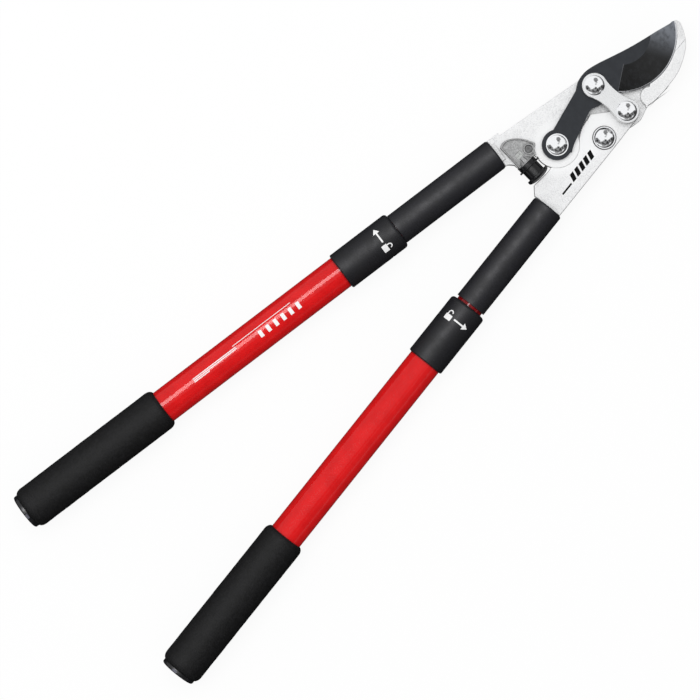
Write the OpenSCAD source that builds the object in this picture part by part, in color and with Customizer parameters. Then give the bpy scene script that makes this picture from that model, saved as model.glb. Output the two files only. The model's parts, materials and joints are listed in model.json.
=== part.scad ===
// Compound-action bypass loppers with telescoping, twist-lock handles.
// They lie flat with the jaws closed: +Y points to the jaw's tip and +Z is up.
// The origin is on the ground, under the middle of the whole tool.
// The head is laid out around the main pivot, and each handle along its own axis.

/* [Handles] */
// Angle of each handle from the tool's centre line, in degrees
handle_angle = 7.1; // [5:0.1:9]
// Distance between the two handle axes where the head enters them
handle_spread = 64; // [58:0.5:70]
// Outer diameter of the foam grip
grip_d = 38; // [34:0.5:40]
// Length of the foam grip
grip_len = 146.5; // [110:0.5:150]
// Outer diameter of the outer tube
outer_tube_d = 30; // [29:0.5:31]
// Outer diameter of the inner tube
inner_tube_d = 25; // [24:0.5:25]
// Wall thickness of both tubes
tube_wall = 1.2; // [1:0.1:1.8]
// Length of the plastic sleeve in front of the collar
sleeve_len = 107; // [90:1:115]
// Outer diameter of that sleeve
sleeve_d = 28.5; // [28:0.5:30]
// How far the right handle is already drawn out from its stop
right_draw = 2.5; // [0:0.5:20]

/* [Lock collar] */
// Outer diameter of the twist collar
collar_d = 34.4; // [34:0.2:37]
// Length of the twist collar
collar_len = 60; // [50:1:70]
// Length of outer tube that shows between collar and grip
bare_tube_len = 192; // [150:1:220]

/* [Head] */
// Blade pivot, measured from the main pivot
blade_pivot = [-24, -33.5];
// Pivot that joins the link to the blade, measured from the main pivot
link_front_pivot = [-38, 24.5];
// Pivot that joins the link to the lever, measured from the main pivot
link_rear_pivot = [-3, 29];
// Thickness of the blade
blade_t = 4.4; // [3.5:0.1:4.8]
// Thickness of the link
link_t = 4; // [3:0.1:5]
// Radius of the blade's round cutting edge
edge_r = 49.5; // [49:0.5:51]
// Width of the ground bevel behind the cutting edge
bevel_w = 23.5; // [15:0.5:25]
// Radius of the domed bolt heads
dome_r = 9.6; // [8:0.1:10]

/* [Hidden] */

$fn = 64;
LEFT = -1;
RIGHT = 1;

// Levels above the ground. The handle axes lie one grip radius up.
axis_z = grip_d / 2;
slip = 0.1;                        // gap between plates that slide on each other
tang_t = 6;
plate_top = axis_z + tang_t / 2;   // machined faces of the hook plate and lever
lap_z = plate_top - 5;             // where lever and hook plate lap
plate_bottom = lap_z - 5;
shoulder_z = plate_top - 8;        // underside of both plates beside the handles
rough_top = plate_top - 0.4;       // as-forged face around the machined boss
blade_z = plate_top + slip;
blade_top = blade_z + blade_t;
link_z = blade_top + slip;
link_top = link_z + link_t;

// Bolts and bores of the head
bolt_r = 5;
running = 0.05;                    // radial clearance of a pin that turns
link_float = 1.35;                 // extra room around the link bolt in the blade
flange_r = bolt_r + 2.2;
flange_t = 1.2;
dome_step = 0.9;                   // width of the flat ring around a dome
dome_h = 4;
rim_h = 0.8;
washer_t = 0.8;
nut_h = 6;
nut_r = 9;

// Shapes of the head, measured from the main pivot
edge_centre = [-54, 71];
edge_tip_angle = 57.5;
edge_heel_angle = -45;
boss_r = 19.5;                     // machined boss around the blade pivot
nest_gap = 0.25;
sweep_r = 41.2;                    // reach of the lever's top lobe
lobe_r = 11.3;
bay_front = -52.2;                 // bay in the hook plate that the bumper sits in
bay_side = -33;
bumper_y = -63;
bumper_tip = -13.3;
bracket_face = -31.5;              // where the rubber meets the bracket
bumper_neck_r = 8.8;
bumper_body_r = 8.1;
rear_flange = [3.2, 4.9];          // where the bumper's flanges start and end, from that face
front_flange = [13.1, 15.1];
bay_gap = 0.4;
bracket_h = 3.6;
bracket_recess = 0.6;
snout_start = -38.6;
snout_r = 5.4;                     // radius of the bracket's snout at its start
rib_groove = 0.6;                  // width and depth of the grooves between its ribs
bracket_screw_at = [-38.6, -53.4];
screw_r = 1.6;
window_at = [-43, -38];            // window that shows the bumper's square nut
window_w = 6.6;
stud_r = 3;
notch_centre = [2.3, 53.5];
notch_r = 8.6;

// Stations along a handle, measured back from the face of the upper sleeve
handle_front = -76;
tang_w = 17;
tang_len = 60;
rivet_stations = [20, 45];
rivet_r = 2.5;
sleeve_wall = 2;
insert_start = 4;
insert_len = 62;
inner_r = inner_tube_d / 2;
inner_end = 430;
outer_r = outer_tube_d / 2;
collar_start = sleeve_len + 0.3;
collar_end = collar_start + collar_len;
outer_start = collar_start + 15;
grip_start = collar_end + bare_tube_len;
grip_end = grip_start + grip_len;
grip_round = 3.5;                  // how far the grip's round ends come in
grip_round_len = 6;                // and how far they run along the handle
cap_len = 3.5;
cap_r = 16;
cap_wall = 3;
cap_round = 1.5;

// The tool's extents, used to put the origin under its middle
tip_y = 116.5;
right_end = grip_end + cap_len + right_draw;
back_y = handle_front - (right_end - cap_round) * cos(handle_angle)
    - (cap_r - cap_round) * sin(handle_angle) - cap_round;
centre_x = -23;
middle = [centre_x + right_draw / 2 * sin(handle_angle), (tip_y + back_y) / 2];

// ---- helpers ----

// Points on an arc, from angle a0 to angle a1
function arc(c, r, a0, a1, n = 16) =
    [for (i = [0:n]) c + r * [cos(a0 + (a1 - a0) * i / n), sin(a0 + (a1 - a0) * i / n)]];

// One point of the smooth curve through b and c, with neighbours a and d
function blend(a, b, c, d, t) =
    0.5 * (2 * b + (c - a) * t + (2 * a - 5 * b + 4 * c - d) * t * t
        + (3 * b - a - 3 * c + d) * t * t * t);

// A smooth curve through all the points given, end points included
function curve(p, n = 5) = let (last = len(p) - 1) concat(
    [for (i = [0:last - 1]) for (k = [0:n - 1])
        blend(p[max(i - 1, 0)], p[i], p[i + 1], p[min(i + 2, last)], k / n)],
    [p[last]]);

// Head parts are drawn around the main pivot
module in_head() {
    translate([-middle[0], -middle[1], 0]) children();
}

// Handle parts are drawn along +Z, which runs back from the sleeve's face; +Y is up
module on_handle(side, draw = 0) {
    in_head()
        translate([centre_x + side * handle_spread / 2, handle_front, axis_z])
            rotate([0, 0, side * handle_angle])
                rotate([90, 0, 0])
                    translate([0, 0, draw])
                        children();
}

// How far the sliding half of a handle is drawn out
function draw_of(side) = side == RIGHT ? right_draw : 0;

module layer(z0, z1) {
    translate([0, 0, z0]) linear_extrude(z1 - z0) children();
}

module at(p) {
    translate([p[0], p[1], 0]) children();
}

module bore(p, r, z0, z1) {
    at(p) translate([0, 0, z0]) cylinder(r = r, h = z1 - z0);
}

// A ring or tube along a handle, from station s0 to s1
module tube(s0, s1, r_out, r_in) {
    translate([0, 0, s0]) difference() {
        cylinder(r = r_out, h = s1 - s0);
        translate([0, 0, -1]) cylinder(r = r_in, h = s1 - s0 + 2);
    }
}

// Domed bolt head on a thin round flange, standing on z
module dome(z) {
    crown_r = dome_r - dome_step;
    ball = (crown_r * crown_r + dome_h * dome_h) / (2 * dome_h);
    translate([0, 0, z]) cylinder(r = dome_r, h = rim_h);
    translate([0, 0, z + rim_h]) intersection() {
        cylinder(r = crown_r, h = dome_h);
        translate([0, 0, dome_h - ball]) sphere(r = ball);
    }
}

// Where a handle's tang leaves the head: the line across the sleeve's face
module shoulder(side, width, depth) {
    translate([centre_x + side * handle_spread / 2, handle_front])
        rotate(side * handle_angle)
            translate([-width / 2, 0])
                square([width, depth]);
}

module tang(side) {
    translate([centre_x + side * handle_spread / 2, handle_front, axis_z])
        rotate([0, 0, side * handle_angle])
            difference() {
                translate([-tang_w / 2, -tang_len, -tang_t / 2]) cube([tang_w, tang_len + 4, tang_t]);
                for (s = rivet_stations)
                    translate([0, -s, -tang_t]) cylinder(r = rivet_r, h = 2 * tang_t);
            }
}

// ---- head ----

// Outer edge of the hook, from the notch up to the tip
hook_back = curve([[6.5, 46.5], [7.5, 54], [7, 67], [4.5, 83], [-0.5, 95], [-8, 106], [-17.5, 113],
    [-25, 116.5]]);
// Inner edge of the hook, which the blade passes
jaw_inner_r = edge_r - 6.5;

// The hook plate as seen from above, without its tang
module hook_plate_shape() {
    difference() {
        union() {
            polygon(concat(
                [[-66.5, -73], [-65, -67], [-51.5, 14], [-47, 41]],
                curve([[-44, 44.5], [-38, 43], [-30, 40.5], [-23.5, 40.5]]),
                arc(edge_centre, jaw_inner_r, -35, 20, 12),
                [[2, 86], [7, 67], [7.5, 54], [6.5, 46.5], [7.5, 44]],
                curve([[8.5, 41], [11, 34], [10.5, 27], [9, 21]]),
                [[11.6, 3], [9.7, -7], [-8.2, -44.9], [-24, -53], [-33, -53], [-33, -71], [-37, -71.5],
                [-43, -77]]));
            circle(r = 12);
            translate(blade_pivot) circle(r = boss_r);
            shoulder(LEFT, 27, 12);
        }
        bumper_bay();
        // everything behind the sleeve's face belongs to the tang
        shoulder_cut(LEFT);
    }
}

// The plate reaches in between the bumper's flanges
module bumper_bay() {
    difference() {
        translate([bay_side, bay_front - 21]) square([40, 21]);
        bay_tongue(bay_side - bracket_face - 1, rear_flange[0], bumper_neck_r);
        bay_tongue(rear_flange[1], front_flange[0], bumper_body_r);
    }
}

module bay_tongue(s0, s1, r) {
    translate([bracket_face + s0 + bay_gap, bumper_y + r + bay_gap])
        square([s1 - s0 - 2 * bay_gap, 5]);
}

module shoulder_cut(side) {
    translate([centre_x + side * handle_spread / 2, handle_front])
        rotate(side * handle_angle)
            translate([-40, -60])
                square([80, 60]);
}

// The raised jaw, level with the underside of the blade
module jaw_shape() {
    polygon(concat(
        [[-28.3, 116.1], [-29.9, 114.8], [-30.2, 112]],
        arc(edge_centre, jaw_inner_r, 55, -12, 18),
        [[-7, 61.5], [-4.4, 59.2]],
        arc(notch_centre, notch_r, 146, 285, 12),
        [[6.5, 44.2], [7.5, 44]],
        hook_back));
}

module hook_plate() {
    color([0.83, 0.83, 0.82]) in_head() {
        difference() {
            union() {
                // lapped layer that carries the main pivot
                layer(plate_bottom, lap_z) difference() {
                    hook_plate_shape();
                    translate([-90, 70]) square([100, 60]);
                }
                // as-forged upper layer, clear of the lever's sweep
                layer(lap_z, rough_top) difference() {
                    hook_plate_shape();
                    circle(r = sweep_r);
                    translate([-38, 10]) square([60, 100]);
                }
                // machined boss that the blade turns on
                layer(lap_z, plate_top) intersection() {
                    translate(blade_pivot) circle(r = boss_r);
                    hook_plate_shape();
                }
                layer(plate_bottom + 2.5, plate_top) jaw_shape();
                tang(LEFT);
            }
            bore([0, 0], bolt_r, 0, 40);
            bore(blade_pivot, bolt_r, 0, 40);
            bore(bracket_screw_at, screw_r, plate_bottom + 2, 40);
            // the bumper's stud runs into a nut held in a pocket under the bracket
            bumper_axis(window_at[0]) cylinder(r = stud_r, h = 20);
            nut_window(plate_bottom + 3.5, 40);
            // the tip of the hook is ground away on the slant
            translate([-13.7, 107.4, plate_top])
                rotate([0, 0, 136])
                    rotate([0, 12, 0])
                        translate([0, -15, 0])
                            cube([30, 30, 12]);
        }
    }
}

// The lever as seen from above, without its tang
module lever_shape() {
    nest_r = boss_r + nest_gap;
    difference() {
        union() {
            polygon(concat(
                [[22.5, -73.5], [8.3, 29]],
                [[-11.5, 21.5], [-23.2, 5.7], [-21.8, 1.9], [-21.1, -1.5]],
                arc([0, 0], 21.2, 190, 234, 8),
                arc(blade_pivot, nest_r, 54, -58, 14),
                [[-13, -54], [-13, -71.5], [-4.5, -79]]));
            translate(link_rear_pivot) circle(r = lobe_r);
            shoulder(RIGHT, 27, 8);
        }
        shoulder_cut(RIGHT);
        // the long outer edge is one straight line
        translate([9.7, 21.3]) rotate(-83.1) translate([-60, 0]) square([160, 20]);
    }
}

module lever_plate() {
    color([0.85, 0.85, 0.84]) in_head() {
        difference() {
            union() {
                layer(lap_z + slip, plate_top) lever_shape();
                // full thickness beside the handle, clear of the hook plate
                layer(shoulder_z, lap_z + 1) intersection() {
                    lever_shape();
                    translate([-30, -90]) square([70, 39.5]);
                }
                tang(RIGHT);
            }
            bore([0, 0], bolt_r + running, 0, 40);
            bore(link_rear_pivot, bolt_r, 0, 40);
            bore(link_rear_pivot, flange_r, 0, lap_z + slip + flange_t);
        }
    }
}

// The blade and its arm as seen from above
module blade_shape() {
    polygon(concat(
        arc(edge_centre, edge_r, edge_tip_angle, edge_heel_angle, 40),
        [[-19.5, 34], [-22, 18.5]],
        curve([[-25, 10], [-24.5, 5], [-18.5, -11], [-14, -23], [-10.5, -29]]),
        [[-24, -36], [-35, -28.5]],
        curve([[-46, 10.5], [-49.8, 16.5], [-51.7, 23], [-51.8, 30], [-49.4, 40.5], [-45, 54],
            [-40.8, 67.5], [-37.2, 81.5], [-34, 96], [-31, 108], [-30.9, 110.8], [-30.1, 112.7],
            [-28.8, 113.3]], 4)));
}

module blade() {
    color([0.17, 0.17, 0.19]) in_head() {
        difference() {
            union() {
                layer(blade_z, blade_top) blade_shape();
                bore(blade_pivot, 13.1, blade_z, blade_top);
            }
            bore(blade_pivot, bolt_r + running, 0, 60);
            // the link bolt floats here, because the closed linkage is opened at this pivot
            bore(link_front_pivot, bolt_r + link_float, 0, 60);
            bore(link_front_pivot, flange_r + link_float, 0, blade_z + flange_t + slip);
            // ground bevel, a shallow cone around the centre of the cutting edge
            intersection() {
                translate([edge_centre[0], edge_centre[1], 0])
                    rotate_extrude($fn = 180)
                        polygon([[edge_r - bevel_w, blade_top], [edge_r - 1.2, blade_z + 1.1],
                            [edge_r + 1, blade_z - 0.2], [edge_r + 5, blade_z - 0.2],
                            [edge_r + 5, blade_top + 5], [edge_r - bevel_w, blade_top + 5]]);
                layer(0, 60) polygon([[-33.9, 56], [-17.4, 31.8], [20, 30], [20, 130], [-60, 130],
                    [-60, 90]]);
            }
        }
    }
}

// The link: two round ends and a waist between them
module link() {
    step = link_rear_pivot - link_front_pivot;
    half = norm(step) / 2;
    end_r = 10.8;
    waist = 8;
    scoop_r = (half * half + waist * waist - end_r * end_r) / (2 * (end_r - waist));
    color([0.86, 0.86, 0.86]) in_head() {
        at(link_front_pivot) rotate([0, 0, atan2(step[1], step[0])]) difference() {
            layer(link_z, link_top) difference() {
                union() {
                    circle(r = end_r);
                    translate([2 * half, 0]) circle(r = end_r);
                    translate([0, -end_r]) square([2 * half, 2 * end_r]);
                }
                for (s = [-1, 1])
                    translate([half, s * (waist + scoop_r)]) circle(r = scoop_r, $fn = 180);
            }
            bore([0, 0], bolt_r, 0, 60);
            bore([2 * half, 0], bolt_r + running, 0, 60);
        }
    }
}

module link_spacer() {
    color([0.6, 0.6, 0.6]) in_head() difference() {
        bore(link_rear_pivot, 8.8, plate_top, link_z - running);
        bore(link_rear_pivot, bolt_r, 0, 60);
    }
}

module main_bolt() {
    color([0.9, 0.9, 0.9]) in_head() {
        bore([0, 0], bolt_r, plate_bottom - nut_h - 1, plate_top + washer_t + running);
        dome(plate_top + washer_t + running);
    }
}

module main_washer() {
    color([0.2, 0.2, 0.2]) in_head() difference() {
        bore([0, 0], dome_r + 0.7, plate_top + running, plate_top + washer_t + running);
        bore([0, 0], bolt_r, 0, 60);
    }
}

// Lock nut with its round collar, under the hook plate
module lock_nut(p) {
    color([0.7, 0.7, 0.72]) in_head() difference() {
        union() {
            at(p) translate([0, 0, plate_bottom - nut_h + 1.6])
                cylinder(r = nut_r, h = nut_h - 1.6, $fn = 6);
            bore(p, nut_r - 1.8, plate_bottom - nut_h, plate_bottom - nut_h + 2);
        }
        bore(p, bolt_r, 0, 60);
    }
}

module blade_bolt() {
    color([0.9, 0.9, 0.9]) in_head() {
        bore(blade_pivot, bolt_r, plate_bottom - nut_h - 1, blade_top + running);
        at(blade_pivot) dome(blade_top + running);
    }
}

// Held in the link, with a flange in the underside of the blade
module link_blade_bolt() {
    color([0.9, 0.9, 0.9]) in_head() {
        bore(link_front_pivot, bolt_r, blade_z + slip / 2, link_top);
        bore(link_front_pivot, flange_r, blade_z + slip / 2, blade_z + flange_t);
        at(link_front_pivot) dome(link_top);
    }
}

// Held in the lever, with a flange in its underside
module link_lever_bolt() {
    color([0.9, 0.9, 0.9]) in_head() {
        bore(link_rear_pivot, bolt_r, lap_z + slip, link_top + running);
        bore(link_rear_pivot, flange_r, lap_z + slip, lap_z + slip + flange_t);
        at(link_rear_pivot) dome(link_top + running);
    }
}

// ---- bumper ----

module bumper_axis(x) {
    translate([x, bumper_y, axis_z]) rotate([0, 90, 0]) children();
}

module nut_window(z0, z1) {
    translate([window_at[0], bumper_y - window_w / 2, z0])
        cube([window_at[1] - window_at[0], window_w, z1 - z0]);
}

// Outline of the bracket's foot
module foot_shape() {
    polygon(concat(
        curve([[-56, -70.4], [-57.6, -67.5], [-57.6, -63], [-55.2, -58], [-51, -53.3],
            [-45.6, -49.3], [-38.6, -45.9]]),
        curve([[-36.6, -47.5], [-35.6, -49.8], [-33, -51.2], [-30.8, -52.6]]),
        [[-31.6, -55], [-31.6, -70.8]]));
}

// The foot has a raised edge, and a boss around its screw
module bracket_foot() {
    foot_top = rough_top + bracket_h;
    foot_middle = [-44, -60];
    difference() {
        layer(rough_top, foot_top) foot_shape();
        difference() {
            layer(foot_top - bracket_recess, foot_top + 1)
                translate(foot_middle) scale(0.87) translate(-foot_middle) foot_shape();
            bore(bracket_screw_at, 4.8, 0, 60);
        }
    }
}

// Ribbed snout: narrow at the window, and as wide as the bumper's neck at its face
module bracket_snout() {
    length = bracket_face - snout_start;
    bumper_axis(snout_start) difference() {
        cylinder(r1 = snout_r, r2 = bumper_neck_r, h = length);
        difference() {
            for (a = [-75:30:75])
                rotate(a) translate([-15, -rib_groove / 2, 0.6]) cube([15, rib_groove, length - 1.8]);
            cylinder(r1 = snout_r - rib_groove, r2 = bumper_neck_r - rib_groove, h = length);
        }
    }
}

// Cast bracket: a foot on the hook plate and a snout that backs the bumper
module bumper_bracket() {
    color([0.45, 0.45, 0.46]) in_head() {
        difference() {
            union() {
                bracket_foot();
                intersection() {
                    bracket_snout();
                    union() {
                        translate([-60, -90, rough_top]) cube([60, 60, 20]);
                        translate([bay_side + 0.1, bay_front - 20.9, 0]) cube([30, 20.8, 40]);
                    }
                }
                // rim around the snout's face
                bumper_axis(bracket_face - 1) cylinder(r = 9, h = 1);
            }
            at(bracket_screw_at) {
                translate([0, 0, rough_top + 1.6]) cylinder(r = 3.3, h = 10);
                cylinder(r = screw_r, h = 60);
            }
            bumper_axis(window_at[0]) cylinder(r = stud_r, h = 20);
            nut_window(0, 60);
        }
    }
}

module bracket_screw() {
    color([0.15, 0.15, 0.16]) in_head() at(bracket_screw_at) difference() {
        union() {
            translate([0, 0, plate_bottom + 3]) cylinder(r = screw_r, h = rough_top - plate_bottom);
            translate([0, 0, rough_top + 1.6]) cylinder(r = 2.9, h = 1.4);
        }
        translate([0, 0, rough_top + 2]) cylinder(r = 1.4, h = 2, $fn = 6);
    }
}

module bumper_nut() {
    play = 0.1;
    color([0.75, 0.75, 0.76]) in_head() difference() {
        translate([window_at[0] + play, bumper_y - window_w / 2 + play, plate_bottom + 3.6])
            cube([window_at[1] - window_at[0] - 2 * play, window_w - 2 * play, rough_top - plate_bottom - 1]);
        bumper_axis(window_at[0] - 1) cylinder(r = stud_r, h = 20);
    }
}

module bumper_stud() {
    color([0.6, 0.6, 0.6]) in_head() bumper_axis(window_at[0] + 0.1) cylinder(r = stud_r, h = 23);
}

// Rubber spool: a neck, two flanges and a domed face
module bumper() {
    rear_r = 10.5;
    front_r = 10.7;
    edge = 0.4;
    face = front_flange[1];
    face_h = bumper_tip - bracket_face - face;
    color([0.08, 0.08, 0.08]) in_head() bumper_axis(bracket_face) difference() {
        rotate_extrude() polygon(concat(
            [[0, 0], [bumper_neck_r, 0], [bumper_neck_r, rear_flange[0]],
            [rear_r - edge, rear_flange[0]], [rear_r, rear_flange[0] + edge],
            [rear_r, rear_flange[1] - edge], [rear_r - edge, rear_flange[1]],
            [bumper_body_r, rear_flange[1]], [bumper_body_r, front_flange[0]],
            [front_r - edge, front_flange[0]], [front_r, front_flange[0] + edge], [front_r, face]],
            [for (i = [1:8]) let (a = 90 * i / 8) [front_r * cos(a), face + face_h * sin(a)]]));
        translate([0, 0, -1]) cylinder(r = stud_r, h = window_at[0] + 24.1 - bracket_face);
    }
}

// ---- handles ----

module inner_tube(side) {
    color([0.8, 0.08, 0.1]) on_handle(side) difference() {
        tube(sleeve_wall, inner_end, inner_r, inner_r - tube_wall);
        rivet_holes();
    }
}

module rivet_holes() {
    for (s = rivet_stations)
        translate([0, 0, s]) rotate([90, 0, 0]) cylinder(r = rivet_r, h = 40, center = true);
}

// Plastic sleeve with a slotted front wall for the tang and a rounded front edge
module upper_sleeve(side) {
    r = sleeve_d / 2;
    edge = 2;
    color([0.13, 0.13, 0.14]) on_handle(side) difference() {
        rotate_extrude() polygon(concat(
            [[0, 0]],
            [for (i = [0:6]) let (a = 90 - 15 * i) [r - edge + edge * cos(a), edge - edge * sin(a)]],
            [[r, sleeve_len], [inner_r, sleeve_len], [inner_r, sleeve_wall], [0, sleeve_wall]]));
        translate([-tang_w / 2, -tang_t / 2, -1]) cube([tang_w, tang_t, 5]);
    }
}

// Plug that fills the inner tube around the tang
module tang_insert(side) {
    color([0.3, 0.3, 0.32]) on_handle(side) difference() {
        translate([0, 0, insert_start]) cylinder(r = inner_r - tube_wall, h = insert_len);
        translate([-tang_w / 2, -tang_t / 2, 0]) cube([tang_w, tang_t, tang_len]);
        rivet_holes();
    }
}

module tang_rivets(side) {
    half = sqrt(inner_r * inner_r - rivet_r * rivet_r) - 0.05;
    color([0.7, 0.7, 0.7]) on_handle(side)
        for (s = rivet_stations)
            translate([0, 0, s]) rotate([90, 0, 0]) cylinder(r = rivet_r, h = 2 * half, center = true);
}

// Bush on the inner tube's end that slides in the outer tube
module guide_bush(side) {
    bore_r = outer_r - tube_wall;
    color([0.85, 0.85, 0.8]) on_handle(side) {
        tube(inner_end - 14, inner_end, bore_r - running, inner_r);
        tube(inner_end, inner_end + 2, bore_r - running, inner_r - tube_wall);
    }
}

module outer_tube(side) {
    color([0.8, 0.08, 0.1]) on_handle(side, draw_of(side))
        tube(outer_start, grip_end, outer_r, outer_r - tube_wall);
}

// Threaded bush fixed on the front of the outer tube
module collar_base(side) {
    color([0.2, 0.2, 0.2]) on_handle(side, draw_of(side)) {
        tube(outer_start - 4, outer_start, outer_r + 0.8, inner_r + 0.3);
        tube(outer_start, collar_end - 6, outer_r + 0.8, outer_r);
    }
}

// Split ring that the collar squeezes on the inner tube
module collet(side) {
    color([0.7, 0.7, 0.66]) on_handle(side, draw_of(side)) difference() {
        tube(collar_start + 2.5, outer_start - 4.2, outer_r - 0.2, inner_r + running);
        translate([-1, 0, 0]) cube([2, 40, 400]);
    }
}

// Twist collar with a rounded front shoulder and a grip groove near its front
module lock_collar(side) {
    r = collar_d / 2;
    edge = 3;
    s0 = collar_start;
    s1 = collar_end;
    color([0.11, 0.11, 0.12]) on_handle(side, draw_of(side)) difference() {
        rotate_extrude() polygon(concat(
            [[inner_r + 0.2, s0]],
            [for (i = [0:6]) let (a = 90 - 15 * i)
                [r - edge + edge * cos(a), s0 + edge - edge * sin(a)]],
            [[r, s1 - 0.8], [r - 0.8, s1], [outer_r + 0.1, s1], [outer_r + 0.1, s1 - 5.9],
            [outer_r + 0.9, s1 - 5.9], [outer_r + 0.9, s0 + 2], [inner_r + 0.2, s0 + 2]]));
        // moulded dent, on the inner side of the left handle and under the right one
        rotate(side == LEFT ? 0 : -90) translate([r - 0.7, -3, s0 + 15.5]) cube([2, 6, 1.4]);
    }
}

// Foam tube with round ends
module grip(side) {
    r = grip_d / 2;
    color([0.09, 0.09, 0.09]) on_handle(side, draw_of(side)) rotate_extrude() polygon(concat(
        [[outer_r, grip_start]],
        [for (i = [0:8]) let (a = 90 - 90 * i / 8)
            [r - grip_round + grip_round * cos(a), grip_start + grip_round_len * (1 - sin(a))]],
        [for (i = [0:8]) let (a = 90 * i / 8)
            [r - grip_round + grip_round * cos(a), grip_end - grip_round_len * (1 - sin(a))]],
        [[outer_r, grip_end]]));
}

// End cap: a plug in the tube and a flange behind the grip
module end_cap(side) {
    end = grip_end + cap_len;
    plug_r = outer_r - tube_wall;
    color([0.07, 0.07, 0.07]) on_handle(side, draw_of(side)) rotate_extrude() polygon(concat(
        [[plug_r - 2, grip_end - 20], [plug_r, grip_end - 20], [plug_r, grip_end], [cap_r, grip_end]],
        [for (i = [0:6]) let (a = 15 * i)
            [cap_r - cap_round + cap_round * cos(a), end - cap_round + cap_round * sin(a)]],
        [[0, end], [0, end - cap_wall], [plug_r - 2, end - cap_wall]]));
}

// ---- the whole tool ----

hook_plate();
lever_plate();
blade();
link();
link_spacer();
main_bolt();
main_washer();
lock_nut([0, 0]);  // main_nut
blade_bolt();
lock_nut(blade_pivot);  // blade_nut
link_blade_bolt();
link_lever_bolt();
bumper_bracket();
bracket_screw();
bumper_nut();
bumper_stud();
bumper();
inner_tube(LEFT);  // left_inner_tube
upper_sleeve(LEFT);  // left_upper_sleeve
tang_insert(LEFT);  // left_tang_insert
tang_rivets(LEFT);  // left_tang_rivets
guide_bush(LEFT);  // left_guide_bush
outer_tube(LEFT);  // left_outer_tube
collar_base(LEFT);  // left_collar_base
collet(LEFT);  // left_collet
lock_collar(LEFT);  // left_lock_collar
grip(LEFT);  // left_grip
end_cap(LEFT);  // left_end_cap
inner_tube(RIGHT);  // right_inner_tube
upper_sleeve(RIGHT);  // right_upper_sleeve
tang_insert(RIGHT);  // right_tang_insert
tang_rivets(RIGHT);  // right_tang_rivets
guide_bush(RIGHT);  // right_guide_bush
outer_tube(RIGHT);  // right_outer_tube
collar_base(RIGHT);  // right_collar_base
collet(RIGHT);  // right_collet
lock_collar(RIGHT);  // right_lock_collar
grip(RIGHT);  // right_grip
end_cap(RIGHT);  // right_end_cap
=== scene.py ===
"""Looks for the compound-action bypass loppers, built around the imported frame."""

import json
import math
from collections import Counter

import bmesh
import bpy
from mathutils import Matrix, Vector, noise


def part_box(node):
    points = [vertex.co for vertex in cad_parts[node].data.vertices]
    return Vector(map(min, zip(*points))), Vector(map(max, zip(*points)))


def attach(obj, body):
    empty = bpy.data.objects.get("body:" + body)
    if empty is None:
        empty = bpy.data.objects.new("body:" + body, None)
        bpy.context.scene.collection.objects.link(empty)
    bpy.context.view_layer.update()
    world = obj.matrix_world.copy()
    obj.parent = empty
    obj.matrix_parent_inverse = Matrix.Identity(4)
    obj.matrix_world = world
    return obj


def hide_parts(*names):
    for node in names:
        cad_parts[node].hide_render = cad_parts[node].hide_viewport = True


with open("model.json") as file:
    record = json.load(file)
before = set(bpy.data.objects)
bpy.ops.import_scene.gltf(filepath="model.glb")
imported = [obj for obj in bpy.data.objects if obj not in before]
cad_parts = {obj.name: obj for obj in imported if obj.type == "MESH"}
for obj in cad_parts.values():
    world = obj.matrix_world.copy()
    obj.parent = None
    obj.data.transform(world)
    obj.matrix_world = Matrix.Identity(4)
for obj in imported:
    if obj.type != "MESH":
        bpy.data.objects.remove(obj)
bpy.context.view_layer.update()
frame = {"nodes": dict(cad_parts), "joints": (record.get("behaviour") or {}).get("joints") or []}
nodes = frame["nodes"]
joints = {joint["name"]: joint for joint in frame["joints"]}

MM = 0.001
SIDES = ("left", "right")


# ---- places taken from the frame ----


def middle(node):
    """The middle of a node's box."""
    low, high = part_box(node)
    return (low + high) / 2


MAIN_PIVOT = middle("main_bolt")
BLADE_PIVOT = middle("blade_bolt")
AXIS_HEIGHT = Vector(joints["left_twist"]["pos_m"]).z  # of both handles
PLATE_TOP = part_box("lever_plate")[1].z

# The blade's round cutting edge: its centre and radius, and the width of the ground bevel
EDGE_CENTRE = MAIN_PIVOT + Vector((-54, 71, 0)) * MM
EDGE_RADIUS = 49.5 * MM
BEVEL_WIDTH = 23.5 * MM
# The straight line where the grinding starts at the blade's heel, and its direction in degrees
PLUNGE_HEEL = MAIN_PIVOT + Vector((-17.4, 31.8, 0)) * MM
PLUNGE_ANGLE = 124.3
# The line from which the bevel's painted sheen grows. It leans towards the blade's back
SHEEN_START = EDGE_CENTRE + Vector((26, 1, 0)) * MM
SHEEN_ANGLE = 211

# Radius around the blade's pivot in which a plate's edges stay crisp and its walls get no painted shade
HOOK_BOSS = 21 * MM
LEVER_BOSS = 22 * MM

# The bumper bracket: the top of its foot, and the cone of its snout, which widens along X
FOOT_TOP = PLATE_TOP + 3.2 * MM
SNOUT_START = MAIN_PIVOT + Vector((-38.6, -63, 0)) * MM
SNOUT_RADIUS = 5.4 * MM
SNOUT_SPREAD = 0.48  # how much the radius grows over each unit of length


def handle_matrix(side):
    """Handle axes: x across to the right, y up, z back along the handle, from the collar's front."""
    twist = joints[side + "_twist"]
    back = Vector(twist["axis"]).normalized()
    up = Vector((0, 0, 1))
    turn = Matrix((up.cross(back), up, back)).transposed().to_4x4()
    return Matrix.Translation(Vector(twist["pos_m"])) @ turn


def reach(node, side):
    """Where a node starts and ends along its handle, and its largest radius."""
    inverse = handle_matrix(side).inverted()
    points = [inverse @ vertex.co for vertex in nodes[node].data.vertices]
    along = [point.z for point in points]
    return min(along), max(along), max(math.hypot(point.x, point.y) for point in points)


# ---- camera, straight above the tool, with the jaws pointing up and to the right ----

CAMERA_TURN = math.radians(45.65)
CAMERA_LENS = 150
SENSOR = 36
VIEW_WIDTH = 0.602  # how much the picture shows across, at the height of the handles
VIEW_MIDDLE = Vector((0.0005, -0.049, AXIS_HEIGHT))


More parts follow.
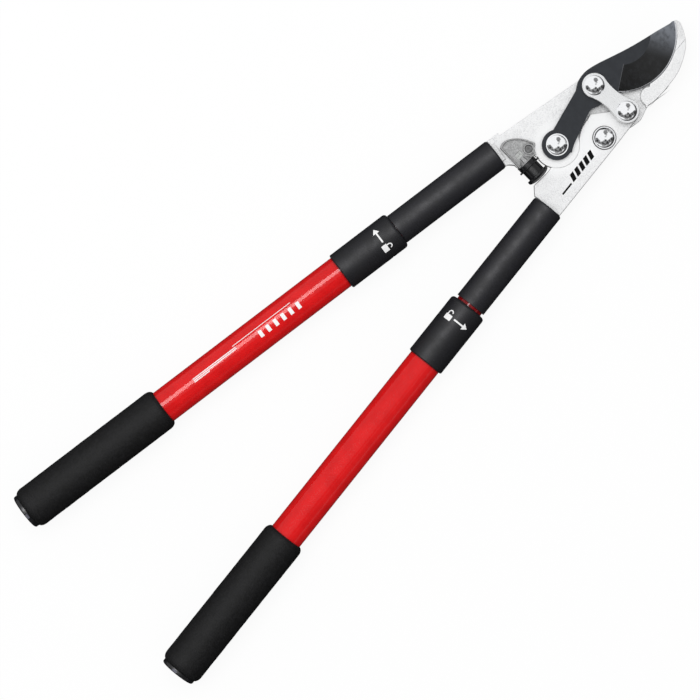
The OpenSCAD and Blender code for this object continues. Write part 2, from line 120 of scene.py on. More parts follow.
def make_camera():
    """Looks straight down, from where VIEW_WIDTH fills the picture."""
    data = bpy.data.cameras.new("camera")
    data.lens = CAMERA_LENS
    data.sensor_width = SENSOR
    camera = bpy.data.objects.new("camera", data)
    distance = VIEW_WIDTH * CAMERA_LENS / SENSOR
    camera.location = VIEW_MIDDLE + Vector((0, 0, distance))
    camera.rotation_euler = (0, 0, CAMERA_TURN)
    data.clip_end = 20
    bpy.context.scene.collection.objects.link(camera)
    bpy.context.scene.camera = camera


# ---- node graphs ----


def add(tree, kind, inputs=None, **settings):
    """A new shader node. Inputs are values or other nodes' sockets."""
    made = tree.nodes.new(kind)
    for name, value in settings.items():
        setattr(made, name, value)
    for name, value in (inputs or {}).items():
        if isinstance(value, bpy.types.NodeSocket):
            tree.links.new(value, made.inputs[name])
        else:
            made.inputs[name].default_value = value
    return made


def math_node(tree, operation, first, second=0.0):
    """One step of arithmetic with values."""
    return add(tree, "ShaderNodeMath", {0: first, 1: second}, operation=operation).outputs[0]


def product(tree, first, *others):
    """The product of two or more values."""
    for other in others:
        first = math_node(tree, "MULTIPLY", first, other)
    return first


def vector_node(tree, operation, first, second):
    """One step of arithmetic with vectors."""
    return add(tree, "ShaderNodeVectorMath", {0: first, 1: second}, operation=operation)


def noise_of(tree, place, size, detail=3.0, roughness=0.55):
    """Noise with features of about that size, in metres, as a value from 0 to 1."""
    inputs = {"Vector": place, "Scale": 1 / size, "Detail": detail, "Roughness": roughness}
    return add(tree, "ShaderNodeTexNoise", inputs).outputs[0]


def ramp(tree, value, low, high, to_low=0.0, to_high=1.0):
    """Smoothly maps low..high to to_low..to_high."""
    inputs = {"Value": value, "From Min": low, "From Max": high, "To Min": to_low, "To Max": to_high}
    return add(tree, "ShaderNodeMapRange", inputs, interpolation_type="SMOOTHSTEP").outputs[0]


def mix(tree, share, first, second):
    """Blends two colours."""
    return add(tree, "ShaderNodeMix", {0: share, 6: first, 7: second}, data_type="RGBA").outputs[2]


def grey(level, blue=0.0):
    """A grey, or a bluish grey."""
    return (level, level, level + blue, 1)


def flat_distance(tree, place, centre):
    """Distance from a point, measured in the plane of the tool."""
    offset = vector_node(tree, "SUBTRACT", place, centre).outputs[0]
    level = vector_node(tree, "MULTIPLY", offset, (1, 1, 0)).outputs[0]
    return add(tree, "ShaderNodeVectorMath", {0: level}, operation="LENGTH").outputs["Value"]


def line_distance(tree, place, through, angle):
    """Signed distance from a line in the plane of the tool, positive on its right-hand side.
    angle is the line's direction in degrees."""
    a = math.radians(angle)
    offset = vector_node(tree, "SUBTRACT", place, through).outputs[0]
    return vector_node(tree, "DOT_PRODUCT", offset, (math.sin(a), -math.cos(a), 0)).outputs["Value"]


def facing(tree):
    """The x, y and z parts of the direction that a face looks in."""
    normal = add(tree, "ShaderNodeNewGeometry").outputs["Normal"]
    return add(tree, "ShaderNodeSeparateXYZ", {0: normal}).outputs


def side_walls(tree, flat=0.96, upright=0.6):
    """1 on faces that stand upright, 0 on faces that lie flat."""
    return ramp(tree, facing(tree)[2], upright, flat, 1, 0)


def shaded_walls(tree):
    """The upright faces that look towards +X, away from the lamps, which get a painted shade."""
    return product(tree, side_walls(tree), ramp(tree, facing(tree)[0], 0.1, 0.4))


def crevices(tree, reach_in):
    """1 in grooves and inner corners narrower than about that distance, 0 in the open."""
    open_share = add(tree, "ShaderNodeAmbientOcclusion", {"Distance": reach_in}, samples=8).outputs["AO"]
    return ramp(tree, open_share, 0.5, 0.92, 1, 0)


class Finish:
    """A Principled material with its node tree. Uniform values are set on the shader's own sockets,
    whose names are given with _ for each space."""

    def __init__(self, name, **uniform):
        self.material = bpy.data.materials.new(name)
        self.material.use_nodes = True
        self.tree = self.material.node_tree
        self.shader = self.tree.nodes["Principled BSDF"]
        for socket, value in uniform.items():
            self.shader.inputs[socket.replace("_", " ")].default_value = value
        self.place = add(self.tree, "ShaderNodeTexCoord").outputs["Object"]

    def link(self, socket, value):
        self.tree.links.new(value, self.shader.inputs[socket])

    def bump(self, height, distance, strength, below=None):
        inputs = {"Height": height, "Distance": distance, "Strength": strength}
        if below is not None:
            inputs["Normal"] = below
        return add(self.tree, "ShaderNodeBump", inputs).outputs[0]


# ---- materials ----


def forged_aluminium(name, machined, unshaded_boss):
    """Bright blasted aluminium. machined lists (centre, radius, fade) of the smooth faces. Upright walls
    that face +X get a painted shade, except within the radius given as the last argument round the
    blade's pivot, where they are as bright as the faces."""
    finish = Finish(name, Metallic=0.5)
    tree, place = finish.tree, finish.place
    grainy = None
    for centre, radius, fade in machined:
        outside = ramp(tree, flat_distance(tree, place, centre), radius, radius + fade)
        grainy = outside if grainy is None else math_node(tree, "MINIMUM", grainy, outside)
    pits = noise_of(tree, place, 1.1 * MM, 3, 0.6)
    fine = noise_of(tree, place, 0.5 * MM, 3, 0.6)
    cloud = noise_of(tree, place, 8 * MM, 3)
    speck = product(tree, ramp(tree, pits, 0.36, 0.68), ramp(tree, fine, 0.3, 0.62),
                    ramp(tree, cloud, 0.3, 0.6, 0.5, 1), grainy)
    shade = mix(tree, speck, grey(0.93), grey(0.56, blue=0.01))
    shade = mix(tree, product(tree, grainy, 0.3), shade, grey(0.84))
    # painted shade: outside the boss round the blade's pivot, upright walls facing +X are darkened to grey
    beyond_boss = ramp(tree, flat_distance(tree, place, BLADE_PIVOT), unshaded_boss, unshaded_boss + 1 * MM)
    sides = product(tree, shaded_walls(tree), beyond_boss)
    finish.link("Base Color", mix(tree, sides, shade, grey(0.25)))
    finish.link("Roughness", ramp(tree, math_node(tree, "MAXIMUM", speck, sides), 0, 1, 0.34, 0.55))
    finish.link("Normal", finish.bump(product(tree, pits, grainy), 0.1 * MM, 0.6))
    return finish.material


def coated_blade(name):
    """Dark non-stick coating, a ground bevel whose painted sheen runs from near-black at the heel to
    blue-grey at the tip, and a bare honed edge.
    """
    finish = Finish(name, Specular_IOR_Level=0.36)
    tree, place = finish.tree, finish.place
    from_centre = flat_distance(tree, place, EDGE_CENTRE)
    grain = noise_of(tree, place, 0.6 * MM, 3)
    cloud = noise_of(tree, place, 5 * MM, 4, 0.6)
    plunge = line_distance(tree, place, PLUNGE_HEEL, PLUNGE_ANGLE)
    beyond = ramp(tree, plunge, 0, 0.3 * MM)
    inside = EDGE_RADIUS - BEVEL_WIDTH
    bevel = product(tree, ramp(tree, from_centre, inside, inside + 0.4 * MM), beyond)
    edge_width = 1.35 * MM
    honed = ramp(tree, from_centre, EDGE_RADIUS - edge_width, EDGE_RADIUS - edge_width + 0.2 * MM)
    honed = product(tree, honed, beyond)
    coat = mix(tree, ramp(tree, cloud, 0.35, 0.65), (0.016, 0.018, 0.022, 1), (0.02, 0.0225, 0.027, 1))
    # painted sheen: the ground bevel's colour runs from near-black to bright blue-grey towards the tip,
    # standing in for its reflection
    painted_tip_sheen = ramp(tree, line_distance(tree, place, SHEEN_START, SHEEN_ANGLE), 0, 32 * MM)
    ground = mix(tree, painted_tip_sheen, grey(0.0005), (0.155, 0.167, 0.19, 1))
    streaks = product(tree, ramp(tree, cloud, 0.4, 0.7), ramp(tree, grain, 0.3, 0.7, 0.4, 1), 0.75)
    ground = mix(tree, streaks, ground, (0.012, 0.013, 0.015, 1))
    shade = mix(tree, bevel, coat, ground)
    line = ramp(tree, math_node(tree, "ABSOLUTE", plunge), 0.15 * MM, 0.4 * MM, 0.6, 0)
    line = product(tree, line, ramp(tree, from_centre, inside - 1 * MM, inside))
    shade = mix(tree, line, shade, grey(0.12, blue=0.01))
    finish.link("Base Color", mix(tree, honed, shade, grey(0.62, blue=0.02)))
    finish.link("Metallic", honed)
    finish.link("Roughness", ramp(tree, bevel, 0, 1, 0.45, 0.22))
    finish.link("Normal", finish.bump(grain, 0.03 * MM, 0.35))
    return finish.material


def satin_steel(name):
    """Bright steel with fine grinding lines along X."""
    finish = Finish(name, Metallic=1.0)
    tree = finish.tree
    stretch = add(tree, "ShaderNodeMapping", {"Vector": finish.place, "Scale": (0.12, 1, 1)}).outputs[0]
    lines = noise_of(tree, stretch, 0.5 * MM, 4, 0.6)
    cloud = noise_of(tree, finish.place, 6 * MM, 3)
    shade = mix(tree, ramp(tree, lines, 0.3, 0.7), grey(0.9), grey(0.98))
    finish.link("Base Color", mix(tree, ramp(tree, cloud, 0.4, 0.8, 0, 0.25), shade, grey(0.83)))
    finish.link("Roughness", ramp(tree, lines, 0.3, 0.7, 0.24, 0.38))
    finish.link("Normal", finish.bump(lines, 0.02 * MM, 0.3))
    return finish.material


def chrome(name):
    """Polished plating with faint hairline scratches."""
    finish = Finish(name, Metallic=1.0)
    tree = finish.tree
    scratches = noise_of(tree, finish.place, 0.35 * MM, 5, 0.7)
    worn = ramp(tree, scratches, 0.5, 0.75)
    finish.link("Base Color", mix(tree, worn, grey(0.94, blue=0.01), grey(0.8)))
    finish.link("Roughness", ramp(tree, scratches, 0.4, 0.8, 0.05, 0.16))
    finish.link("Normal", finish.bump(scratches, 0.004 * MM, 0.3))
    return finish.material


def plated(name, colour, rough):
    """A plated or oxide-blackened metal surface with slight blotches."""
    finish = Finish(name, Metallic=1.0)
    tree = finish.tree
    grain = noise_of(tree, finish.place, 0.6 * MM, 4)
    cloud = noise_of(tree, finish.place, 4 * MM, 3)
    dark = tuple(channel * 0.6 for channel in colour[:3]) + (1,)
    finish.link("Base Color", mix(tree, ramp(tree, cloud, 0.35, 0.7), colour, dark))
    finish.link("Roughness", ramp(tree, grain, 0.3, 0.7, rough - 0.07, rough + 0.1))
    finish.link("Normal", finish.bump(grain, 0.02 * MM, 0.5))
    return finish.material


def cast_zinc(name):
    """Grey casting with a coarse skin, and with painted shade that darkens its upright walls and grooves."""
    finish = Finish(name, Metallic=0.7)
    tree = finish.tree
    skin = noise_of(tree, finish.place, 1.0 * MM, 5, 0.65)
    cloud = noise_of(tree, finish.place, 3.5 * MM, 3)
    shade = mix(tree, ramp(tree, skin, 0.35, 0.65), grey(0.3), grey(0.6))
    shade = mix(tree, ramp(tree, cloud, 0.4, 0.65, 0, 0.5), shade, grey(0.33))
    # painted shade: upright walls and grooves found by occlusion are darkened nearly to black
    wall_and_groove_shade = math_node(tree, "MAXIMUM", side_walls(tree, 0.9, 0.5), crevices(tree, 2 * MM))
    finish.link("Base Color", mix(tree, wall_and_groove_shade, shade, grey(0.03)))
    finish.link("Roughness", ramp(tree, skin, 0.3, 0.7, 0.36, 0.56))
    finish.link("Normal", finish.bump(skin, 0.2 * MM, 0.7))
    return finish.material


def moulded(name, level, rough, grain_size, grain_depth, specular=0.3, parting=False):
    """Moulded plastic or rubber with a fine eroded grain. level is its brightness. parting adds a mould
    line at the handle's height."""
    finish = Finish(name, Specular_IOR_Level=specular)
    tree = finish.tree
    grain = noise_of(tree, finish.place, grain_size, 3)
    cloud = noise_of(tree, finish.place, 11 * MM, 3)
    light = grey(level * 1.25, blue=level * 0.35)
    shade = mix(tree, ramp(tree, grain, 0.35, 0.7), grey(level * 0.6, blue=level * 0.15), light)
    finish.link("Base Color", mix(tree, ramp(tree, cloud, 0.4, 0.7, 0, 0.35), shade, grey(level * 0.55)))
    finish.link("Roughness", ramp(tree, cloud, 0.3, 0.7, rough - 0.05, rough + 0.06))
    normal = finish.bump(grain, grain_depth, 0.6)
    if parting:
        height = add(tree, "ShaderNodeSeparateXYZ", {0: finish.place}).outputs[2]
        off = math_node(tree, "ABSOLUTE", math_node(tree, "SUBTRACT", height, AXIS_HEIGHT))
        ridge = ramp(tree, off, 0.1 * MM, 0.25 * MM, 1, 0)
        normal = finish.bump(ridge, 0.12 * MM, 0.8, normal)
    finish.link("Normal", normal)
    return finish.material


def red_enamel(name):
    """Glossy red enamel with a slight orange peel, and painted shade where it meets other parts."""
    finish = Finish(name, Roughness=0.11, Specular_IOR_Level=0.22)
    tree = finish.tree
    peel = noise_of(tree, finish.place, 2.2 * MM, 2)
    cloud = noise_of(tree, finish.place, 14 * MM, 3)
    shade = mix(tree, ramp(tree, cloud, 0.35, 0.65), (0.66, 0.01, 0.011, 1), (0.59, 0.008, 0.009, 1))
    # painted shade: the enamel turns dark red in corners and gaps next to other parts
    finish.link("Base Color", mix(tree, crevices(tree, 4 * MM), shade, (0.1, 0.002, 0.004, 1)))
    finish.link("Normal", finish.bump(peel, 0.01 * MM, 0.06))
    return finish.material


def foam(name):
    """Closed-cell foam rubber: matt, with small pores and a mottled skin."""
    finish = Finish(name, Specular_IOR_Level=0.16)
    tree = finish.tree
    cell_size = 1.3 * MM
    cells = add(tree, "ShaderNodeTexVoronoi", {"Vector": finish.place, "Scale": 1 / cell_size}).outputs[0]
    fine = noise_of(tree, finish.place, 0.9 * MM, 4, 0.65)
    cloud = noise_of(tree, finish.place, 5 * MM, 3)
    pores = product(tree, ramp(tree, cells, 0.05, 0.5), ramp(tree, fine, 0.3, 0.65))
    shade = mix(tree, pores, grey(0.0006), grey(0.009, blue=0.0008))
    finish.link("Base Color", mix(tree, ramp(tree, cloud, 0.42, 0.7, 0, 0.6), shade, grey(0.002)))
    finish.link("Roughness", ramp(tree, fine, 0.3, 0.7, 0.55, 0.75))
    finish.link("Normal", finish.bump(pores, 0.16 * MM, 0.7))
    return finish.material


def print_ink(name, colour):
    """Screen-printed ink that is a little thin in places."""
    finish = Finish(name, Roughness=0.5, Specular_IOR_Level=0.08)
    tree = finish.tree
    thin = noise_of(tree, finish.place, 0.7 * MM, 3)
    faded = tuple(channel * 0.82 for channel in colour[:3]) + (1,)
    finish.link("Base Color", mix(tree, ramp(tree, thin, 0.5, 0.75), colour, faded))
    return finish.material


def make_materials():
    """Every finish, under the name of its material slot in the CAD, and two special ones."""
    plate_smooth = [(BLADE_PIVOT, 16 * MM, 9 * MM), (EDGE_CENTRE, EDGE_RADIUS - 1 * MM, 4 * MM)]
    lever_smooth = [(MAIN_PIVOT + Vector((-13, -4, 0)) * MM, 15 * MM, 16 * MM),
                    (BLADE_PIVOT, 20 * MM, 12 * MM)]
    return {
        "forged_aluminium": forged_aluminium("hook_plate_aluminium", plate_smooth, HOOK_BOSS),
        "lever_aluminium": forged_aluminium("lever_aluminium", lever_smooth, LEVER_BOSS),
        "coated_blade": coated_blade("coated_blade"),
        "satin_steel": satin_steel("satin_steel"),
        "chrome": chrome("chrome"),
        "dull_steel": plated("dull_steel", grey(0.3), 0.4),
        "black_oxide": plated("black_oxide", grey(0.06), 0.4),
        "zinc": plated("zinc", (0.74, 0.75, 0.73, 1), 0.3),
        "cast_zinc": cast_zinc("cast_zinc"),
        "red_enamel": red_enamel("red_enamel"),
        "foam": foam("foam"),
        # level, roughness, the grain's size and depth, specular level
        "bumper_rubber": moulded("bumper_rubber", 0.004, 0.26, 0.6 * MM, 0.01 * MM, 0.32),
        "sleeve_plastic": moulded("sleeve_plastic", 0.012, 0.56, 0.8 * MM, 0.04 * MM, 0.26, parting=True),
        "collar_plastic": moulded("collar_plastic", 0.009, 0.56, 0.8 * MM, 0.04 * MM, 0.24),
        "core_plastic": moulded("core_plastic", 0.08, 0.5, 0.5 * MM, 0.02 * MM),
        "bush_plastic": moulded("bush_plastic", 0.6, 0.45, 0.5 * MM, 0.02 * MM),
        "cap_plastic": moulded("cap_plastic", 0.006, 0.3, 0.4 * MM, 0.03 * MM, 0.4),
    }


# ---- building pieces ----


def new_piece(name, bm, material, body):
    """Makes an object from a bmesh that is in the frame's own coordinates, and lets it ride on a body."""
    bmesh.ops.recalc_face_normals(bm, faces=bm.faces)
    data = bpy.data.meshes.new(name)
    bm.to_mesh(data)
    bm.free()
    data.materials.append(material)
    piece = bpy.data.objects.new(name, data)
    bpy.context.scene.collection.objects.link(piece)
    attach(piece, body)
    return piece


def smooth_by_angle(piece, degrees):
    piece.data.shade_smooth()
    piece.data.set_sharp_from_angle(angle=math.radians(degrees))


def stations(start, end, count):
    """Even steps from start to end, both included."""
    return [start + (end - start) * index / count for index in range(count + 1)]


def lathe(profile, segments):
    """A closed ring of (radius, station) points turned around the z axis."""
    bm = bmesh.new()
    rings = []
    for index in range(segments):
        angle = 2 * math.pi * index / segments
        rings.append([bm.verts.new((r * math.cos(angle), r * math.sin(angle), s)) for r, s in profile])
    for index in range(segments):
        ring, following = rings[index], rings[(index + 1) % segments]
        for step in range(len(profile)):
            after = (step + 1) % len(profile)
            bm.faces.new((ring[step], ring[after], following[after], following[step]))
    return bm


def weigh_edges(node, wanted):
    """Marks which of a CAD mesh's sharp edges get rounded: those where its faces are split, and where
    wanted says yes to the edge's middle."""
    mesh = nodes[node].data
    uses = Counter(key for polygon in mesh.polygons for key in polygon.edge_keys)
    weights = mesh.attributes.new("bevel_weight_edge", "FLOAT", "EDGE")
    for edge in mesh.edges:
        start, end = (mesh.vertices[index].co for index in edge.vertices)
        weights.data[edge.index].value = float(uses[edge.key] == 1 and wanted((start + end) / 2))


def off_boss(point):
    """Not on the boss around the blade's pivot, where the two plates meet closely."""
    return (point - BLADE_PIVOT).xy.length > HOOK_BOSS


def on_foot(point):
    """On the top of the bracket's foot, away from the cone of its snout."""
    margin = 0.2 * MM
    along = point.x - SNOUT_START.x
    from_axis = math.hypot(point.y - SNOUT_START.y, point.z - AXIS_HEIGHT)
    near_cone = along > -margin / 2 and from_axis < SNOUT_RADIUS + SNOUT_SPREAD * along + margin
    return point.z > FOOT_TOP - 0.05 * MM and not near_cone


def soften(node, width, clamped=False, wanted=None):
    """Rounds a CAD node's sharp edges with modifiers, which leave its vertices as they are.
    wanted says yes to the edges that are rounded, or else it is every edge over 35 degrees."""
    if wanted:
        weigh_edges(node, wanted)
    piece = nodes[node]
    weld = piece.modifiers.new("weld", "WELD")
    weld.merge_threshold = 0.05 * MM
    flat = piece.modifiers.new("flat", "DECIMATE")
    flat.decimate_type = "DISSOLVE"
    flat.angle_limit = math.radians(0.3)
    bevel = piece.modifiers.new("bevel", "BEVEL")
    bevel.width = width
    bevel.segments = 2
    bevel.limit_method = "WEIGHT" if wanted else "ANGLE"
    bevel.angle_limit = math.radians(35)
    bevel.miter_outer = "MITER_ARC"
    bevel.harden_normals = True
    bevel.use_clamp_overlap = clamped
    normals = piece.modifiers.new("normals", "WEIGHTED_NORMAL")
    normals.keep_sharp = True


def make_tube(side, material):
    """The enamelled outer tube, finer than the CAD mesh and with its edges broken."""
    node = side + "_outer_tube"
    start, end, radius = reach(node, side)
    bore = reach(side + "_guide_bush", side)[2] + 0.05 * MM
    edge = 0.3 * MM
    rings = 60
    segments = 144
    profile = [(bore, start), (radius - edge, start)]
    profile += [(radius, station) for station in stations(start + edge, end - edge, rings)]
    profile += [(radius - edge, end), (bore, end)]
    bm = lathe(profile, segments)
    bm.transform(handle_matrix(side))
    tube = new_piece(side + "_enamelled_tube", bm, material, side + "_slider")
    smooth_by_angle(tube, 30)
    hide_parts(node)
    return tube


def make_grip(side, material):
    """Foam sleeve: a thick tube with soft rounded ends and a slightly uneven skin."""
    node = side + "_grip"
    start, end, radius = reach(node, side)
    inner = reach(side + "_outer_tube", side)[2] + 0.02 * MM
    nose = 3.8 * MM  # how far the round ends come in
    nose_length = 6.2 * MM
    rings = 110
    segments = 112
    # the round end from its outer shoulder inwards: (radius, distance from the grip's end)
    quarter = [(radius - nose + nose * math.cos(angle), nose_length * (1 - math.sin(angle)))
               for angle in stations(0, math.pi / 2, 9)]
    profile = [(inner, start + 0.8 * MM), (inner + 0.5 * MM, start + 0.1 * MM)]
    profile += [(r, start + inset) for r, inset in reversed(quarter)]
    middle_part = stations(start + nose_length, end - nose_length, rings)
    profile += [(radius, station) for station in middle_part[1:-1]]
    profile += [(r, end - inset) for r, inset in quarter]
    profile += [(inner + 0.5 * MM, end - 0.1 * MM), (inner, end - 0.8 * MM)]
    bm = lathe(profile, segments)
    sunk = 0.16  # in millimetres, so that the uneven skin stays within the grip's size
    for vertex in bm.verts:
        out = Vector((vertex.co.x, vertex.co.y, 0))
        if out.length >= inner + 1 * MM:
            waves = 0.12 * noise.noise(vertex.co / (7 * MM)) + 0.1 * noise.noise(vertex.co / (2.2 * MM))
            vertex.co += out.normalized() * (waves - sunk) * MM
    bm.transform(handle_matrix(side))
    grip = new_piece(side + "_foam_grip", bm, material, side + "_slider")
    smooth_by_angle(grip, 60)
    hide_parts(node)
    return grip


# ---- printed marks and pads: flat outlines in millimetres, wrapped around a tube ----


def wrapped(outlines, side, station, radius, centre, thickness=0.05 * MM):
    """Thin solid patches. Outlines are (across, along) in millimetres, wrapped at that radius.
    centre is the angle of the patches' middle from straight up, towards the right."""
    bm = bmesh.new()
    for outline in outlines:
        bm.faces.new([bm.verts.new((x * MM, y * MM, 0)) for x, y in outline])
    bmesh.ops.triangulate(bm, faces=bm.faces)
    low = min(vertex.co.x for vertex in bm.verts)
    high = max(vertex.co.x for vertex in bm.verts)
    step = 0.7 * MM
    for index in range(1, math.ceil((high - low) / step)):
        geometry = bm.verts[:] + bm.edges[:] + bm.faces[:]
        bmesh.ops.bisect_plane(bm, geom=geometry, plane_co=(low + index * step, 0, 0), plane_no=(1, 0, 0))
    top = bmesh.ops.extrude_face_region(bm, geom=bm.faces[:])
    raised = {item for item in top["geom"] if isinstance(item, bmesh.types.BMVert)}
    for vertex in bm.verts:
        angle = vertex.co.x / radius + centre
        height = radius + (thickness if vertex in raised else -thickness)
        vertex.co = Vector((height * math.sin(angle), height * math.cos(angle), station + vertex.co.y))
    bm.transform(handle_matrix(side))
    return bm


def bar(x0, x1, y0, y1, slant=0.0):
    """A plain bar from x0 to x1 across and y0 to y1 along, leaning by slant."""
    return [(x0, y0), (x1, y0), (x1 + slant, y1), (x0 + slant, y1)]


def arc_band(cx, cy, inner, outer, start, end):
    """Quads of a ring segment, angles in degrees."""
    angles = stations(math.radians(start), math.radians(end), 14)
    return [[(cx + inner * math.cos(a), cy + inner * math.sin(a)),
             (cx + outer * math.cos(a), cy + outer * math.sin(a)),
             (cx + outer * math.cos(b), cy + outer * math.sin(b)),
             (cx + inner * math.cos(b), cy + inner * math.sin(b))] for a, b in zip(angles, angles[1:])]


def round_rectangle(half_width, half_length, corner):
    """The outline of a rectangle with round corners, around the origin."""
    points = []
    for turn, (sx, sy) in enumerate(((1, 1), (-1, 1), (-1, -1), (1, -1))):
        for angle in stations(math.pi / 2 * turn, math.pi / 2 * (turn + 1), 4):
            points.append((sx * (half_width - corner) + corner * math.cos(angle),
                           sy * (half_length - corner) + corner * math.sin(angle)))
    return points


def open_sign(direction):
    """An open padlock and an arrow that says which way to turn the collar."""
    lock = -direction * 7.2  # the padlock's middle
    body = bar(lock - 2.9, lock + 2.9, -0.6, 3.6)
    shackle = arc_band(lock, -2.1, 1.25, 2.1, 180, 360)
    closed_leg = bar(lock - 2.1, lock - 1.25, -2.1, -0.6)
    shaft = bar(-direction * 2.2, direction * 6.2, -0.1, 1.1)
    head = [(direction * 5.8, -2.1), (direction * 10, 0.5), (direction * 5.8, 3.1)]
    size = 1.2
    return [[(x * size, y * size) for x, y in shape] for shape in (body, *shackle, closed_leg, shaft, head)]


def make_signs(white):
    """What is printed on the lock collars."""
    from_front = 16 * MM
    for side, direction in (("left", -1), ("right", 1)):
        start, _, radius = reach(side + "_lock_collar", side)
        bm = wrapped(open_sign(direction), side, start + from_front, radius, -0.05)
        new_piece(side + "_open_sign", bm, white, side + "_collar")


def make_tube_marks(white):
    """The plain stripe, bars and lines printed on the left tube."""
    start, _, radius = reach("left_outer_tube", "left")
    pinstripe = [bar(-0.3, 0.3, 0, 62)]
    bars = [bar(-3.2, 3.2, y, y + 3.4) for y in range(0, 42, 8)]
    lines = [bar(x, x + 0.8, y, 46) for x, y in ((-2.2, 0), (-0.7, 0), (0.8, 30))]
    for name, outlines, from_front, centre in (("left_pinstripe", pinstripe, 96, -0.36),
                                               ("left_trim_bars", bars, 90, 0.06),
                                               ("left_trim_lines", lines, 156, -0.1)):
        bm = wrapped(outlines, "left", start + from_front * MM, radius, centre)
        new_piece(name, bm, white, "left_slider")


def make_lever_mark(black):
    """Plain slanted bars and a line along the lever's outer edge."""
    place = Vector((MAIN_PIVOT.x + 4.6 * MM, MAIN_PIVOT.y - 37 * MM, PLATE_TOP))
    edge_lean = 96.9  # degrees
    depth = 0.04 * MM  # the ink reaches this far above the plate's top, and below it
    outlines = [bar(x, x + 4.2, -3.3, 3.3, 2.8) for x in range(-9, 21, 6)]
    outlines.append(bar(-23, -10.8, -3.3, -1.7))
    bm = bmesh.new()
    for outline in outlines:
        bm.faces.new([bm.verts.new((x * MM, y * MM, -depth)) for x, y in outline])
    raised = bmesh.ops.extrude_face_region(bm, geom=bm.faces[:])
    for item in raised["geom"]:
        if isinstance(item, bmesh.types.BMVert):
            item.co.z += 2 * depth
    bm.transform(Matrix.Translation(place) @ Matrix.Rotation(math.radians(edge_lean), 4, "Z"))
    new_piece("lever_bars", bm, black, "lever")


def make_cap_pads(material):
    """The small moulded pad on each end cap. Its light grey is a painted glint."""
    from_end = 1.7 * MM
    thickness = 0.35 * MM
    for side, centre in (("left", 0.28), ("right", -0.2)):
        _, end, radius = reach(side + "_end_cap", side)
        outline = round_rectangle(2.2, 1.1, 0.8)
        bm = wrapped([outline], side, end - from_end, radius, centre, thickness)
        new_piece(side + "_cap_pad", bm, material, side + "_slider")


# ---- light and floor ----

FLOOR_SIZE = 6
RAGGEDNESS = 0.5  # the span, in radians, over which the edges of the dark openings wander

# Openings in the studio that show in the bolts' domes: turn, tilt, width, softness, depth
DARK_PATCHES = (
    (280, 44, 20, 6, 0.7),
    (270, 64, 14, 5, 0.65),
    (300, 62, 14, 5, 0.7),
    (242, 53, 15, 5, 0.75),
    (212, 60, 15, 5, 0.75),
    (190, 68, 14, 4, 0.85),
    (318, 54, 15, 5, 0.7),
    (338, 64, 14, 5, 0.75),
    (355, 76, 11, 4, 0.85),
    (74, 54, 17, 5, 0.75),
    (66, 34, 9, 5, 0.6),
    (50, 18, 5, 5, 0.45),
    (298, 22, 8, 4, 0.85),
)


def towards(turn, tilt):
    """The direction at that turn around the zenith and that tilt down from it, in radians."""
    return Vector((math.sin(tilt) * math.cos(turn), math.sin(tilt) * math.sin(turn), math.cos(tilt)))


def dark_patch(tree, direction, ragged, turn, tilt, width, softness, depth):
    """Darkens the surroundings around a direction: turn around the zenith, tilt down from it,
    in degrees. The patch is dark within width and fades over softness."""
    centre = towards(math.radians(turn) + CAMERA_TURN, math.radians(tilt))
    cosine = vector_node(tree, "DOT_PRODUCT", direction, centre).outputs["Value"]
    uneven = product(tree, math_node(tree, "SUBTRACT", ragged, 0.5), RAGGEDNESS)
    apart = math_node(tree, "ADD", math_node(tree, "ARCCOSINE", cosine), uneven)
    return ramp(tree, apart, math.radians(width), math.radians(width + softness), 1 - depth, 1)


def make_world():
    """A white studio with soft dark openings, which only polished surfaces mirror. Matt surfaces
    get an even dim light from it, and the camera sees plain white."""
    world = bpy.data.worlds.new("studio")
    bpy.context.scene.world = world
    world.use_nodes = True
    tree = world.node_tree
    direction = add(tree, "ShaderNodeTexCoord").outputs["Generated"]
    east, _, height = add(tree, "ShaderNodeSeparateXYZ", {0: direction}).outputs
    # the horizon is bright towards -X and dark towards +X
    leaning_height = math_node(tree, "SUBTRACT", height, product(tree, east, 0.2))
    level = ramp(tree, leaning_height, -0.12, 0.18, 0.05, 0.98)
    ragged = noise_of(tree, direction, 0.45, 3)
    level = product(tree, level, *(dark_patch(tree, direction, ragged, *patch) for patch in DARK_PATCHES))
    mirrored = tree.nodes["Background"]
    tree.links.new(level, mirrored.inputs["Strength"])
    mirrored.inputs["Color"].default_value = (0.98, 0.99, 1.0, 1)
    glow = ramp(tree, height, -0.35, 0.15, 0.12, 0.6)
    even = add(tree, "ShaderNodeBackground", {"Color": (1, 1, 1, 1), "Strength": glow})
    white = add(tree, "ShaderNodeBackground", {"Color": (1, 1, 1, 1), "Strength": 1.0})
    rays = add(tree, "ShaderNodeLightPath").outputs
    matt = add(tree, "ShaderNodeMixShader",
               {0: rays["Is Diffuse Ray"], 1: mirrored.outputs[0], 2: even.outputs[0]})
    seen = add(tree, "ShaderNodeMixShader",
               {0: rays["Is Camera Ray"], 1: matt.outputs[0], 2: white.outputs[0]})
    tree.links.new(seen.outputs[0], tree.nodes["World Output"].inputs["Surface"])


def area_light(name, turn, tilt, distance, size, glow, mirrored):
    """A softbox above the tool, long along Y, turned and tilted from the zenith by those degrees.
    glow is its brightness. It is either mirrored in glossy surfaces or it lights the matt ones."""
    turn, tilt = math.radians(turn), math.radians(tilt)
    data = bpy.data.lights.new(name, "AREA")
    data.shape = "RECTANGLE"
    data.size, data.size_y = size
    data.energy = glow * math.pi * size[0] * size[1]
    lamp = bpy.data.objects.new(name, data)
    lamp.location = VIEW_MIDDLE + towards(turn, tilt) * distance
    lamp.rotation_euler = (0, math.copysign(tilt, math.cos(turn)), 0)
    lamp.visible_glossy = mirrored
    lamp.visible_diffuse = not mirrored
    lamp.visible_camera = False
    bpy.context.scene.collection.objects.link(lamp)
    return lamp


def shine_on(lamp, pieces):
    """Lets a light reach only these pieces."""
    group = bpy.data.collections.new(lamp.name + "_reach")
    for piece in pieces:
        group.objects.link(piece)
    lamp.light_linking.receiver_collection = group


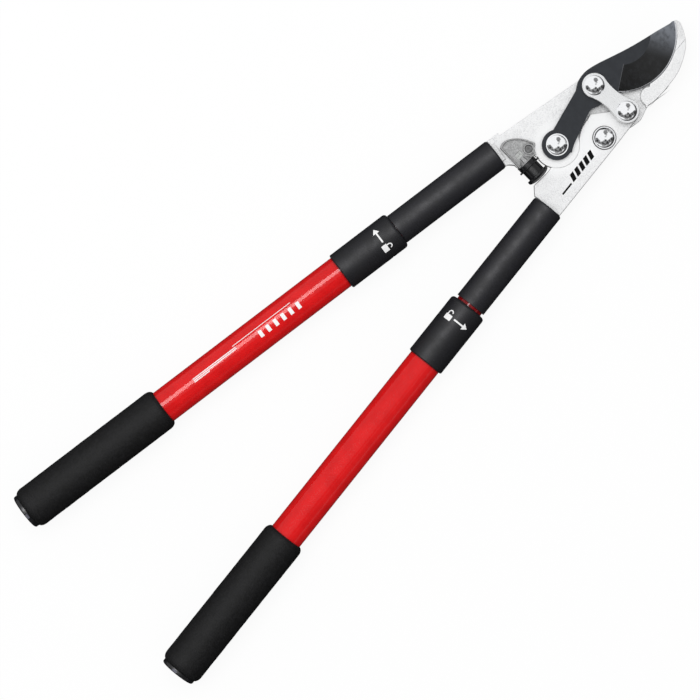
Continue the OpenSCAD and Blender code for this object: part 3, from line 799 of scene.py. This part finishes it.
def make_floor():
    """White ground that takes a faint shadow. It doesn't light the tool, and no part mirrors it."""
    bm = bmesh.new()
    half = FLOOR_SIZE / 2
    bm.faces.new([bm.verts.new((x, y, -0.3 * MM)) for x, y in
                  ((-half, -half), (half, -half), (half, half), (-half, half))])
    data = bpy.data.meshes.new("floor")
    bm.to_mesh(data)
    bm.free()
    floor = bpy.data.objects.new("floor", data)
    bpy.context.scene.collection.objects.link(floor)
    material = bpy.data.materials.new("floor_white")
    material.use_nodes = True
    tree = material.node_tree
    glow = add(tree, "ShaderNodeEmission", {"Color": (1, 1, 1, 1), "Strength": 1.0})
    matt = add(tree, "ShaderNodeBsdfDiffuse", {"Color": (0.85, 0.85, 0.85, 1)})
    both = add(tree, "ShaderNodeMixShader", {0: 0.08, 1: glow.outputs[0], 2: matt.outputs[0]})
    tree.links.new(both.outputs[0], tree.nodes["Material Output"].inputs["Surface"])
    data.materials.append(material)
    floor.visible_glossy = False
    floor.visible_diffuse = False


# ---- the whole scene ----


def dress_nodes(materials):
    """Gives every CAD node the finish of its material slot."""
    special = {"lever_plate": "lever_aluminium", "bracket_screw": "dull_steel"}
    for name, piece in nodes.items():
        slot = piece.data.materials[0].name.split(".")[0]
        finish = materials[special.get(name, slot)]
        for material_slot in piece.material_slots:
            material_slot.material = finish


def soften_nodes():
    """Breaks the edges of the head's parts. Thin parts need the clamp, which keeps a bevel from folding."""
    soften("hook_plate", 0.5 * MM, wanted=off_boss)
    soften("lever_plate", 0.8 * MM, wanted=off_boss)
    soften("bumper_bracket", 0.5 * MM, wanted=on_foot)
    for node, width in (("link", 0.6), ("main_nut", 0.4), ("blade_nut", 0.4)):
        soften(node, width * MM)
    for node, width in (("blade", 0.35), ("bumper_nut", 0.3), ("link_spacer", 0.2), ("main_washer", 0.2)):
        soften(node, width * MM, clamped=True)


def main():
    make_camera()
    make_world()
    strip = area_light("strip", turn=180, tilt=18.5, distance=1.7, size=(0.66, 1.6), glow=12, mirrored=True)
    area_light("key", turn=180, tilt=17, distance=2.4, size=(1.4, 2.6), glow=3.3, mirrored=False)
    make_floor()
    materials = make_materials()
    dress_nodes(materials)
    soften_nodes()
    tubes = {side: make_tube(side, materials["red_enamel"]) for side in SIDES}
    shiny = [nodes["bumper"], tubes["left"]]
    for side in SIDES:
        shiny.append(make_grip(side, materials["foam"]))
        shiny += [nodes[side + part] for part in ("_upper_sleeve", "_lock_collar", "_inner_tube", "_end_cap")]
    shine_on(strip, shiny)
    white = print_ink("white_ink", grey(0.85))
    make_signs(white)
    make_tube_marks(white)
    make_lever_mark(print_ink("black_ink", grey(0.004)))
    # the pads' light grey plastic is a painted glint
    make_cap_pads(moulded("pad_plastic", 0.12, 0.4, 0.4 * MM, 0.02 * MM))
    bpy.context.scene.view_settings.view_transform = "Standard"


main()
